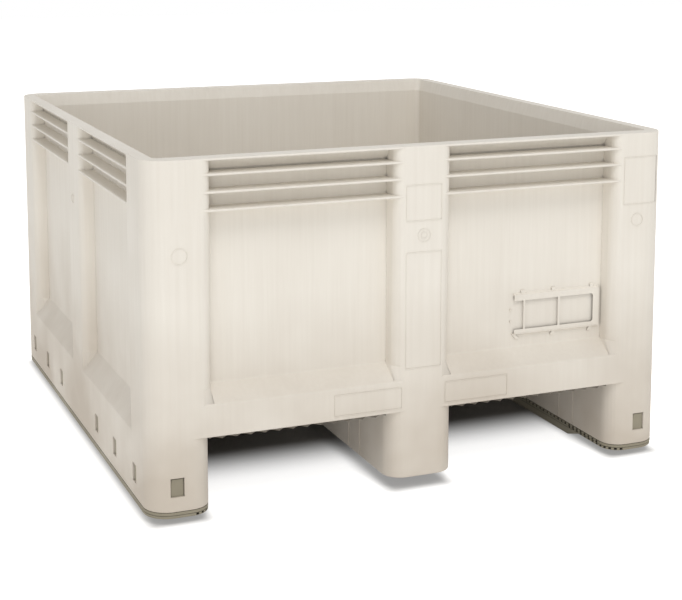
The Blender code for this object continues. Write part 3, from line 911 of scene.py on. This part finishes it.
@dataclass(frozen=True)
class CardHolder:
    """The frame on the right front panel that holds two cards: they slide in behind it from its left end."""

    size: BinSize
    panel: float = 0.042
    seat: float = 0.0046
    plate: float = 0.0016
    left: float = 0.225
    right: float = 0.427
    low: float = 0.286
    high: float = 0.3695
    notch: float = 0.246
    uprights: tuple[float, ...] = (0.250, 0.328, 0.333, 0.413)
    window_low: float = 0.296
    window_high: float = 0.357
    corner_round: float = 0.0055
    small_round: float = 0.0012
    slope: float = 0.004
    rail: float = 0.0025
    end_rail: float = 0.004
    step_in: float = 0.0001
    root: float = 0.0005
    overlap: float = 0.001
    lip_rises: tuple[float, float] = (0.001, 0.0025)
    lip_proud: float = 0.0007
    lug_half: float = 0.0045
    lug_proud: float = 0.0035
    lug_round: float = 0.0010
    stop_half: float = 0.0013
    stop_half_height: float = 0.0022
    stop_proud: float = 0.003
    low_lugs: tuple[Lug, ...] = (
        Lug(0.316, bottom=-0.010, top=0.002, lean=0.005),
        Lug(0.406, bottom=-0.010, top=0.002, lean=0.005),
        Lug(0.2345, bottom=-0.011, top=0.001, lean=-0.010),
    )
    high_lugs: tuple[Lug, ...] = tuple(
        Lug(middle, bottom=-0.001, top=0.0085, lean=-0.002) for middle in (0.247, 0.320, 0.412)
    )
    stops: tuple[tuple[float, float], ...] = ((0.218, 0.338), (0.218, 0.313))

    @property
    def front(self) -> float:
        """How far back the plate's front face stands."""
        return self.panel - self.seat - self.plate

    @property
    def seat_front(self) -> float:
        """How far back the rails start, inside the plate."""
        return self.front + self.plate / 2

    @property
    def back(self) -> float:
        """How far back the rails and lugs end, inside the panel."""
        return self.panel + self.root

    def build(self, finish: bpy.types.Material) -> bpy.types.Object:
        """Models the holder."""
        bm = self._plate()
        for height, up in ((self.low, -1), (self.high, 1)):
            add_to(bm, self._rail(height, up))
        add_to(bm, self._end_rail())
        lip_low, lip_high = (self.low + rise for rise in self.lip_rises)
        add_to(bm, block(
            (self.left + self.overlap, self.front - self.lip_proud, lip_low),
            (self.right, self.front + self.overlap, lip_high),
        ))
        for edge, lugs in ((self.low, self.low_lugs), (self.high, self.high_lugs)):
            for lug in lugs:
                add_to(bm, self._lug(lug, edge))
        for along, height in self.stops:
            add_to(bm, block(
                (along - self.stop_half, self.panel - self.stop_proud, height - self.stop_half_height),
                (along + self.stop_half, self.back, height + self.stop_half_height),
            ))
        bmesh.ops.transform(bm, matrix=self.size.to_world(Wall.FRONT), verts=bm.verts)
        return finish_piece(bm, "card_holder_frame", finish, "card_holder")

    def _plate(self) -> BMesh:
        """Models the flat frame with its two windows and its open left end."""
        lines = (self.left, self.notch, *self.uprights, self.right)
        levels = (self.low, self.window_low, self.window_high, self.high)
        bm = bmesh.new()
        rows = [[bm.verts.new((x, self.front, z)) for x in lines] for z in levels]
        openings = (self.left, *self.uprights[::2])
        for level, under, over in zip(levels, rows, rows[1:]):
            for i, line in enumerate(lines[:-1]):
                if level != self.window_low or line not in openings:
                    bm.faces.new((under[i], under[i + 1], over[i + 1], over[i]))
        raise_faces(bm, bm.faces[:], (0, self.plate, 0))
        rounds = ((self.uprights[-1:], self.corner_round), (self.uprights[:-1], self.small_round))
        for places, radius in rounds:
            corners = [
                edge for edge in bm.edges
                if abs(edge.verts[0].co.y - edge.verts[1].co.y) > self.plate / 2
                and any(abs(edge.verts[0].co.x - x) < WELD for x in places)
                and any(abs(edge.verts[0].co.z - z) < WELD for z in (self.window_low, self.window_high))
            ]
            round_edges(bm, corners, radius, 4)
        bmesh.ops.recalc_face_normals(bm, faces=bm.faces)
        return bm

    def _rail(self, height: float, up: int) -> BMesh:
        """Models the rail behind the upper edge, with up as 1, or the lower one, with up as -1."""
        low, high = sorted((height - up * self.rail, height - up * self.step_in))
        bm = block((self.left, self.seat_front, low), (self.right, self.back, high))
        self._slope_out(bm, lambda place: (place.z - height) * up > -self.overlap, (0, 0, up * self.slope))
        return bm

    def _end_rail(self) -> BMesh:
        """Models the rail that closes the right end, sloping out to the panel."""
        bm = block(
            (self.right - self.end_rail, self.seat_front, self.low),
            (self.right - self.step_in, self.back, self.high),
        )
        self._slope_out(bm, lambda place: place.x > self.right - self.overlap, (self.slope, 0, 0))
        return bm

    def _slope_out(self, bm: BMesh, outer: Callable[[Vector], bool], move: Point) -> None:
        """Moves the outer points of a rail where it meets the panel."""
        middle = (self.seat_front + self.back) / 2
        bmesh.ops.translate(bm, vec=move, verts=[v for v in bm.verts if v.co.y > middle and outer(v.co)])

    def _lug(self, lug: Lug, edge: float) -> BMesh:
        """Models a lug at the height of the plate's upper or lower edge."""
        low, high = edge + lug.bottom, edge + lug.top
        front = self.panel - self.lug_proud
        bm = block((lug.middle - self.lug_half, front, low), (lug.middle + self.lug_half, self.back, high))
        upper = [v for v in bm.verts if v.co.z > (low + high) / 2]
        bmesh.ops.translate(bm, vec=(lug.lean, 0, 0), verts=upper)
        outer = [e for e in bm.edges if any(v.co.y < front + WELD for v in e.verts)]
        round_edges(bm, outer, self.lug_round, 2)
        return bm


@dataclass(frozen=True)
class PlanPoint:
    """One point of a runner's plan.

    Attributes:
        place: Where it is.
        out: The way out of the runner there.
        slot: Whether a slot starts there.
    """

    place: Vector
    out: Vector
    slot: bool

    def at(self, height: float, inset: float) -> Vector:
        """The point on a level that stands back by an inset."""
        return self.place - self.out * inset + Vector((0, 0, height))


@dataclass(frozen=True)
class SkidRunner:
    """A runner under an outer leg: a flange round its foot, a keel on ramps, and eight snap tabs."""

    size: BinSize
    side: Side
    width: float = 0.125
    outer_round: float = 0.050
    inner_round: float = 0.040
    top: float = 0.0257
    flange_bottom: float = 0.014
    slot_pitch: float = 0.0165
    slot_width: float = 0.0075
    slot_depth: float = 0.008
    slot_draft: float = 0.0003
    turn_steps: int = 10
    edge: float = 0.0008
    edge_drop: float = 0.0007
    joint_low: float = 0.0207
    groove_high: float = 0.0203
    groove_low: float = 0.0197
    groove: float = 0.0014
    slot_high: float = 0.0192
    slot_low: float = 0.0150
    band: float = 0.0005
    foot: float = 0.0015
    keel_flat: float = 0.4345
    keel_ramp: float = 0.045
    keel_inset: float = 0.022
    keel_root: float = 0.002
    keel_round: float = 0.002
    tab_width: float = 0.0252
    tab_thickness: float = 0.003
    tab_recess: float = 0.0028
    tab_low: float = 0.020
    tab_high: float = 0.0920
    tab_round: float = 0.0012
    catch_heights: tuple[float, float] = (0.080, 0.0906)
    catch_inset: float = 0.002
    catch_proud: float = 0.0012
    catch_root: float = 0.001
    catch_slope: float = 0.0011
    side_tabs: tuple[float, ...] = (0.180, 0.340, 0.500)
    front_tab_from_side: float = 0.055

    def build(self, finish: bpy.types.Material) -> bpy.types.Object:
        """Models the runner."""
        bm = self._flange()
        add_to(bm, self._keel())
        for wall, along in self._tab_places():
            add_to(bm, self._tab(along), self.size.to_world(wall))
        side = self.side.name.lower()
        return finish_piece(bm, f"{side}_runner", finish, f"{side}_skid_runner")

    def _tab_places(self) -> list[tuple[Wall, float]]:
        """The wall and the place along it of each tab."""
        across = self.size.half_width - self.front_tab_from_side
        wall = Wall.LEFT if self.side is Side.LEFT else Wall.RIGHT
        places = [(wall, sign * y) for sign in (-1, 1) for y in self.side_tabs]
        return [(Wall.FRONT, self.side.value * across), (Wall.BACK, -self.side.value * across), *places]

    def _outline(self) -> list[PlanPoint]:
        """The flange's plan, counter-clockwise for the left runner."""
        outer, inner, end = self.size.half_width, self.size.half_width - self.width, self.size.half_depth
        plan: list[PlanPoint] = []

        def turn(x: float, y: float, radius: float, start: float, slots: bool) -> None:
            """Adds a quarter turn of the plan round a centre."""
            for i in range(self.turn_steps + 1):
                angle = math.radians(start + 90 / self.turn_steps * i)
                out = Vector((math.cos(angle), math.sin(angle), 0))
                plan.append(PlanPoint(Vector((x, y, 0)) + out * radius, out, slots and i % 2 == 1))

        turn(-outer + self.outer_round, -end + self.outer_round, self.outer_round, 180, False)
        turn(-inner - self.inner_round, -end + self.inner_round, self.inner_round, 270, True)
        count = int(2 * (end - self.inner_round) / self.slot_pitch) - 1
        for i in range(count):
            start = (i - count / 2) * self.slot_pitch
            for y, slot in ((start, True), (start + self.slot_width, False)):
                plan.append(PlanPoint(Vector((-inner, y, 0)), Vector((1, 0, 0)), slot))
        turn(-inner - self.inner_round, end - self.inner_round, self.inner_round, 0, True)
        turn(-outer + self.outer_round, end - self.outer_round, self.outer_round, 90, False)
        return plan

    def _flange(self) -> BMesh:
        """Models the flange with its groove and its slots."""
        plan = self._outline()
        bm = bmesh.new()
        number = bm.verts.layers.int.new("place")
        ring = start_skin(bm, [point.at(self.top, self.edge) for point in plan], number)
        levels = (
            (self.top - self.edge_drop, 0.0), (self.joint_low, 0.0), (self.groove_high, self.groove),
            (self.groove_low, self.groove), (self.slot_high, self.band), (self.slot_low, self.band),
            (self.flange_bottom, self.foot),
        )
        slots = []
        for level in levels:
            ring, band = extend_skin(bm, ring, lambda vert: plan[vert[number]].at(*level))
            if level[0] in (self.joint_low, self.slot_low):
                toes = level[0] == self.slot_low
                slots += [f for f in band if self._is_slot(plan, sorted({v[number] for v in f.verts}), toes)]
        bmesh.ops.edgeloop_fill(bm, edges=ring)
        bmesh.ops.recalc_face_normals(bm, faces=bm.faces)
        bmesh.ops.inset_individual(bm, faces=slots, thickness=self.slot_draft, depth=-self.slot_depth)
        if self.side is Side.RIGHT:
            bmesh.ops.scale(bm, vec=(-1, 1, 1), verts=bm.verts)
            bmesh.ops.recalc_face_normals(bm, faces=bm.faces)
        return bm

    def _is_slot(self, plan: Sequence[PlanPoint], ends: Sequence[int], toes: bool) -> bool:
        """Whether a face of a slots' band is one of them.

        Args:
            plan: The flange's plan.
            ends: Numbers of the two points of the plan that the face lies between.
            toes: Whether the band is the lower one, with slots only near the toes.

        Returns:
            True for a slot.
        """
        if len(ends) != 2 or ends[1] != ends[0] + 1 or not plan[ends[0]].slot:
            return False
        from_middle = abs(plan[ends[0]].place.y)
        return from_middle > self.keel_flat if toes else from_middle < self.size.half_depth - self.inner_round

    def _keel(self) -> BMesh:
        """Models the keel: flat, with a ramp at both ends."""
        near = self.size.half_width - self.width + self.band
        far = self.size.half_width - self.keel_inset
        ramp = self.keel_flat + self.keel_ramp
        inside = self.flange_bottom + self.keel_root
        half = ((self.keel_flat, 0.0), (ramp, self.flange_bottom), (ramp, inside))
        bm = bmesh.new()
        profile = [(-y, z) for y, z in reversed(half[:2])] + [*half, (-ramp, inside)]
        corners = [bm.verts.new((self.side.value * near, y, z)) for y, z in profile]
        raise_faces(bm, [bm.faces.new(corners)], (self.side.value * (far - near), 0, 0))
        low = [e for e in bm.edges if all(v.co.z < self.flange_bottom - WELD for v in e.verts)]
        round_edges(bm, low, self.keel_round)
        return bm

    def _tab(self, along: float) -> BMesh:
        """Models a tab in its wall's own axes, with a sloping catch at its upper end."""
        half, front = self.tab_width / 2, self.tab_recess
        back = front + self.tab_thickness
        bm = block((along - half, front, self.tab_low), (along + half, back, self.tab_high))
        outer = [e for e in bm.edges if all(v.co.y < front + WELD for v in e.verts)]
        round_edges(bm, outer, self.tab_round)
        low, high = self.catch_heights
        side = half - self.catch_inset
        catch = block(
            (along - side, front - self.catch_proud, low), (along + side, front + self.catch_root, high),
        )
        lower = [v for v in catch.verts if v.co.z < (low + high) / 2 and v.co.y < front]
        bmesh.ops.translate(catch, vec=(0, self.catch_slope, 0), verts=lower)
        add_to(bm, catch)
        return bm


# ---- finishes


def linear(colour: str) -> tuple[float, float, float, float]:
    """Turns an sRGB hex colour into linear red, green, blue and alpha."""
    shares = [int(colour[i : i + 2], 16) / 255 for i in (1, 3, 5)]
    red, green, blue = (c / 12.92 if c <= 0.04045 else ((c + 0.055) / 1.055) ** 2.4 for c in shares)
    return (red, green, blue, 1.0)


@dataclass(frozen=True)
class Nodes:
    """A shader tree, with the nodes that the finishes and the studio are made of."""

    tree: bpy.types.NodeTree

    def add(
        self, kind: str, inputs: dict[str | int, object] | None = None, **settings: object,
    ) -> bpy.types.Node:
        """Adds a node with its settings and links.

        Args:
            kind: The node's type, without the ShaderNode before it.
            inputs: A value or another node's socket for each input.
            **settings: Attributes of the node.

        Returns:
            The new node.
        """
        node = self.tree.nodes.new(f"ShaderNode{kind}")
        for name, value in settings.items():
            setattr(node, name, value)
        for key, value in (inputs or {}).items():
            if isinstance(value, Socket):
                self.tree.links.new(value, node.inputs[key])
            else:
                node.inputs[key].default_value = value
        return node

    def math(self, operation: str, *values: object, clamp: bool = False) -> Socket:
        """The result of an operation on numbers and sockets."""
        return self.add("Math", dict(enumerate(values)), operation=operation, use_clamp=clamp).outputs[0]

    def noise(self, place: Socket, scale: float, detail: float, roughness: float) -> Socket:
        """A grey noise over the places that a socket gives."""
        inputs = {"Vector": place, "Scale": scale, "Detail": detail, "Roughness": roughness}
        return self.add("TexNoise", inputs).outputs["Fac"]

    def spread(
        self, value: Socket, start: float, end: float, first: float = 0.0, last: float = 1.0,
        kind: str = "LINEAR",
    ) -> Socket:
        """A value between two bounds, taken to one between two others."""
        inputs = {"Value": value, "From Min": start, "From Max": end, "To Min": first, "To Max": last}
        return self.add("MapRange", inputs, interpolation_type=kind).outputs[0]

    def blend(self, share: object, first: object, second: object, kind: str = "MIX") -> Socket:
        """Two colours mixed by a share."""
        return self.add("Mix", {0: share, 6: first, 7: second}, data_type="RGBA", blend_type=kind).outputs[2]

    def seen_share(self) -> Socket:
        """1 where the camera, a reflection or a clear piece sees the background, and 0 for light."""
        path = self.add("LightPath")
        mirrored = self.math("ADD", path.outputs["Is Camera Ray"], path.outputs["Is Glossy Ray"], clamp=True)
        return self.math("ADD", mirrored, path.outputs["Is Transmission Ray"], clamp=True)


def start_material(
    name: str, values: dict[str, float],
) -> tuple[bpy.types.Material, Nodes, bpy.types.ShaderNodeBsdfPrincipled]:
    """Makes a material with these values in its main shader.

    Args:
        name: The material's name.
        values: A value for each input of the shader that differs from Blender's own.

    Returns:
        The material, its nodes and the shader.
    """
    material = bpy.data.materials.new(name)
    material.use_nodes = True
    shader = material.node_tree.nodes["Principled BSDF"]
    for key, value in values.items():
        shader.inputs[key].default_value = value
    return material, Nodes(material.node_tree), shader


@dataclass(frozen=True)
class MouldedPolyethylene:
    """High-density polyethylene, injection moulded: waxy, half matt, with faint flow marks down the walls.

    Attributes:
        name: The material's name.
        clean: Its colour.
        shade: The colour of its cloudy patches.
        darkened_low: The colour that it turns towards the ground.
        darkening_top: Height at which the darkening ends, in metres.
        darkening: How strongly it is darkened at the ground.
        cloud: Size of a cloudy patch in metres.
        grain: Size of the fine grain in millimetres, drawn at twice the real one so that it shows.
        streak: Width of a flow mark in millimetres.
        streak_stretch: Its width as a share of its length.
        roughness: Lowest and highest roughness.
        grain_depth: Depth of the grain in millimetres.
        painted_shade_reach: How near two faces are, in millimetres, where shade is painted into the colour
            between them.
        painted_shade_open: How open to the light a shaded crevice and a fully open face are.
        painted_shade_kept: How much of its colour a crevice keeps under the painted shade.
    """

    name: str
    clean: str
    shade: str
    darkened_low: str
    darkening_top: float = 0.42
    darkening: float = 1.9
    cloud: float = 0.22
    grain: float = 2.2
    streak: float = 9.0
    streak_stretch: float = 0.035
    roughness: tuple[float, float] = (0.58, 0.72)
    grain_depth: float = 0.05
    # Painted shade: an ambient occlusion node darkens the colour in crevices and corners.
    painted_shade_reach: float = 9.0
    painted_shade_open: tuple[float, float] = (0.12, 0.62)
    painted_shade_kept: float = 0.30

    def material(self) -> bpy.types.Material:
        """Makes the material, on object coordinates."""
        material, nodes, shader = start_material(self.name, {"IOR": 1.54, "Specular IOR Level": 0.35})
        place = nodes.add("TexCoord").outputs["Object"]
        clouds = nodes.noise(place, 1 / self.cloud, 3.0, 0.55)
        drawn_out = nodes.add("Mapping", {"Vector": place, "Scale": (1.0, 1.0, self.streak_stretch)})
        streaks = nodes.noise(drawn_out.outputs[0], 1000 / self.streak, 3.0, 0.6)
        grain = nodes.noise(place, 1000 / self.grain, 2.0, 0.5)
        relief = nodes.math("MULTIPLY_ADD", streaks, 0.6, grain)
        bump = nodes.add("Bump", {"Height": relief, "Strength": 0.35, "Distance": self.grain_depth / 1000})
        nodes.tree.links.new(self._colour(nodes, place, clouds, streaks), shader.inputs["Base Color"])
        nodes.tree.links.new(nodes.spread(clouds, 0.3, 0.7, *self.roughness), shader.inputs["Roughness"])
        nodes.tree.links.new(bump.outputs[0], shader.inputs["Normal"])
        return material

    def _colour(self, nodes: Nodes, place: Socket, clouds: Socket, streaks: Socket) -> Socket:
        """Mixes the clean, cloudy and darker low-down colours, and paints shade into crevices.

        Args:
            nodes: The material's nodes.
            place: Object coordinates.
            clouds: Broad noise.
            streaks: Noise drawn out down the walls.

        Returns:
            The socket that gives the colour.
        """
        patches = nodes.spread(nodes.math("MULTIPLY_ADD", clouds, 0.7, streaks), 0.5, 1.25)
        moulded = nodes.blend(patches, linear(self.clean), linear(self.shade))
        # Darker towards the bottom, in cloudy patches.
        height = nodes.add("SeparateXYZ", {0: place}).outputs["Z"]
        low = nodes.spread(height, 0.0, self.darkening_top, 1.0, 0.0)
        amount = nodes.math("MULTIPLY", nodes.math("MULTIPLY", low, clouds), self.darkening, clamp=True)
        darkened_low = nodes.blend(amount, moulded, linear(self.darkened_low))
        # Painted shade: the colour is darkened where faces stand near each other, as in shaded crevices.
        openness = nodes.add("AmbientOcclusion", {"Distance": self.painted_shade_reach / 1000}, samples=8).outputs["AO"]
        painted_shade_factor = nodes.spread(openness, *self.painted_shade_open, self.painted_shade_kept, 1.0)
        return nodes.blend(1.0, darkened_low, painted_shade_factor, "MULTIPLY")


# ---- the studio


@dataclass(frozen=True)
class Lamp:
    """One broad round lamp.

    Attributes:
        name: The lamp's name.
        towards: The direction from the bin to it.
        watts: Its power.
        diameter: Its size, in metres.
    """

    name: str
    towards: Point
    watts: float
    diameter: float


@dataclass(frozen=True)
class Studio:
    """Floor, lights and camera round the bin.

    Attributes:
        size: The bin's box.
        floor_half: Half the floor's size, in metres.
        floor_gap: How far the floor is below the runners.
        floor_colour: The floor's colour.
        shaded_colour: Its colour far under the bin and at the legs' feet, a painted shadow.
        lift_outside: How much whiter than lit the floor looks round the bin.
        lift_inside: The same, far under the bin and at the legs' feet.
        shade_from: How far under the bin, from its front or back, the floor starts to darken.
        shade_to: Where it is darkest.
        side_fall: How much faster the shade ends at the bin's long sides.
        foot_shade: How far from a leg its foot's shade ends.
        foot_reach: How far back from the bin's face a foot's shade starts.
        foot_open: How open the floor is at the foot itself, from 0 to 1.
        bounce: How much of the floor's lift lights the bin too.
        legs: Middle of the legs on one side, along X, and half the width of their shade's middle.
        fill: Strength of the light from all round.
        lamp_distance: How far off the lamps hang.
        warm_white: Colour of the lamps and the fill.
        lamps: The lamps.
        eye: Where the camera is.
        yaw: How far it is turned from +Y towards +X.
        pitch: How far it looks down.
        roll: How far it leans.
        lens: Its focal length in millimetres.
        shift: Its shift, across and up.
    """

    size: BinSize
    floor_half: float = 15.0
    floor_gap: float = 0.0003
    floor_colour: str = "#F0EFED"
    shaded_colour: str = "#A2A09E"
    lift_outside: float = 0.85
    lift_inside: float = 0.0
    shade_from: float = 0.17
    shade_to: float = 0.37
    side_fall: float = 8.0
    foot_shade: float = 0.045
    foot_reach: float = 0.02
    foot_open: float = 0.30
    bounce: float = 0.30
    legs: tuple[tuple[float, float], ...] = ((0.0, 0.050), (0.5025, 0.0425))
    fill: float = 0.58
    lamp_distance: float = 16.0
    warm_white: Point = (1.0, 0.995, 0.985)
    lamps: tuple[Lamp, ...] = (
        Lamp("key_lamp", (-0.06, -0.56, 0.83), watts=800.0, diameter=8.0),
        Lamp("front_lamp", (-0.48, -0.87, 0.05), watts=370.0, diameter=5.2),
    )
    eye: Point = (-1.2595, -3.2861, 1.1284)
    yaw: float = math.radians(22.954)
    pitch: float = math.radians(7.947)
    roll: float = math.radians(-0.1386)
    lens: float = 80.39
    shift: tuple[float, float] = (-0.0364, -0.2384)

    def build(self) -> None:
        """Sets the floor, the world, the lamps and the camera."""
        self._floor()
        self._world()
        for lamp in self.lamps:
            self._hang(lamp)
        self._camera()

    def _floor(self) -> None:
        """Lays a white floor, darker far under the bin and at the legs' feet."""
        bm = bmesh.new()
        bmesh.ops.create_grid(bm, x_segments=1, y_segments=1, size=self.floor_half)
        bmesh.ops.translate(bm, vec=(0, 0, -self.floor_gap), verts=bm.verts)
        floor = link("studio_floor", as_mesh(bm, "studio_floor"))
        matt = {"Roughness": 1.0, "Specular IOR Level": 0.0}
        material, nodes, paper = start_material("white_paper_sweep", matt)
        # Painted shadow: the floor's colour and glow are darkened far under the bin and at the legs' feet.
        open_share = self._open_share(nodes)
        colour = nodes.blend(open_share, linear(self.shaded_colour), linear(self.floor_colour))
        nodes.tree.links.new(colour, paper.inputs["Base Color"])
        lift = nodes.spread(open_share, 0.0, 1.0, self.lift_inside, self.lift_outside)
        strength = nodes.math("MULTIPLY", nodes.math("MAXIMUM", nodes.seen_share(), self.bounce), lift)
        glow = nodes.add("Emission", {"Color": WHITE, "Strength": strength})
        both = nodes.add("AddShader", {0: paper.outputs[0], 1: glow.outputs[0]})
        nodes.tree.links.new(both.outputs[0], material.node_tree.nodes["Material Output"].inputs["Surface"])
        floor.data.materials.append(material)
        floor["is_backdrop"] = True

    def _open_share(self, nodes: Nodes) -> Socket:
        """How open the floor is: 0 far under the bin and at the legs' feet, and 1 round it."""
        place = nodes.add("TexCoord").outputs["Object"]
        axes = nodes.add("SeparateXYZ", {0: place})
        across, along = (nodes.math("ABSOLUTE", axes.outputs[axis]) for axis in "XY")
        past_side = nodes.math("SUBTRACT", across, self.size.half_width)
        past_face = nodes.math("SUBTRACT", along, self.size.half_depth)
        past = nodes.math("MAXIMUM", nodes.math("MULTIPLY", past_side, self.side_fall), past_face)
        under = nodes.spread(past, -self.shade_to, -self.shade_from, kind="SMOOTHSTEP")
        beside = [
            nodes.math("SUBTRACT", nodes.math("ABSOLUTE", nodes.math("SUBTRACT", across, middle)), half)
            for middle, half in self.legs
        ]
        reaches = (nodes.math("MINIMUM", *beside), nodes.math("ADD", past_face, self.foot_reach))
        squares = (nodes.math("POWER", nodes.math("MAXIMUM", reach, 0.0), 2.0) for reach in reaches)
        away = nodes.math("SQRT", nodes.math("ADD", *squares))
        at_feet = nodes.spread(away, 0.0, self.foot_shade, self.foot_open, kind="SMOOTHSTEP")
        return nodes.math("MULTIPLY", under, at_feet)

    def _world(self) -> None:
        """Gives soft light from all round, seen as white."""
        world = bpy.data.worlds.new("studio_world")
        bpy.context.scene.world = world
        world.use_nodes = True
        world.node_tree.nodes.clear()
        nodes = Nodes(world.node_tree)
        fill = nodes.add("Background", {"Color": (*self.warm_white, 1.0), "Strength": self.fill})
        white = nodes.add("Background", {"Color": WHITE, "Strength": 1.0})
        mix = nodes.add("MixShader", {0: nodes.seen_share(), 1: fill.outputs[0], 2: white.outputs[0]})
        nodes.add("OutputWorld", {"Surface": mix.outputs[0]})

    def _hang(self, lamp: Lamp) -> None:
        """Hangs a lamp so that it faces the bin's middle."""
        way = Vector(lamp.towards).normalized()
        light = bpy.data.lights.new(lamp.name, "AREA")
        light.shape = "DISK"
        light.size = lamp.diameter
        light.energy = lamp.watts
        light.color = self.warm_white
        hung = link(lamp.name, light)
        hung.location = Vector((0, 0, self.size.height / 2)) + way * self.lamp_distance
        hung.rotation_euler = way.to_track_quat("Z", "Y").to_euler()

    def _camera(self) -> None:
        """Sets the camera a little above the rim and left of the front."""
        ahead = Vector((math.sin(self.yaw), math.cos(self.yaw), 0))
        forward = ahead * math.cos(self.pitch) - Vector((0, 0, math.sin(self.pitch)))
        level = Vector((math.cos(self.yaw), -math.sin(self.yaw), 0))
        down = forward.cross(level)
        right = math.cos(self.roll) * level + math.sin(self.roll) * down
        up = math.sin(self.roll) * level - math.cos(self.roll) * down
        data = bpy.data.cameras.new("camera")
        data.lens = self.lens
        data.sensor_width = 36.0
        data.shift_x, data.shift_y = self.shift
        camera = link("camera", data)
        turn = Matrix((right, up, -forward)).transposed()
        camera.matrix_world = Matrix.Translation(self.eye) @ turn.to_4x4()
        bpy.context.scene.camera = camera


def main() -> None:
    """Builds the bin's pieces in order, and the studio round them."""
    logging.basicConfig(level=logging.INFO, format="%(message)s")
    low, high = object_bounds()
    size = BinSize((high[0] - low[0]) / 2, (high[1] - low[1]) / 2, high[2])
    # The third finish is bone painted darker: painted shade for the floor ribs, which sit in shade under the
    # floor.
    bone, khaki, shade_painted_bone = (finish.material() for finish in (
        MouldedPolyethylene("bone_moulded_polyethylene", "#E8E3DA", "#E0DAD0", "#C4BAAD"),
        MouldedPolyethylene("khaki_moulded_polyethylene", "#A6A08C", "#989280", "#8C8574", grain=1.6),
        MouldedPolyethylene("shade_painted_rib_polyethylene", "#8A8378", "#7C756A", "#6E675D"),
    ))
    pieces = [
        Tub(size).build(bone),
        # Painted shade: the ribs take the darker finish.
        FloorRibs(size).build(shade_painted_bone),
        MouldMarks(size).build(bone),
        CardHolder(size).build(bone),
        *(SkidRunner(size, side).build(khaki) for side in Side),
    ]
    for piece in pieces:
        log.info("%s: %d faces", piece.name, len(piece.data.polygons))
    Studio(size).build()
    bpy.context.scene.view_settings.view_transform = "Standard"
    low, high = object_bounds()


if __name__ == "__main__":
    main()
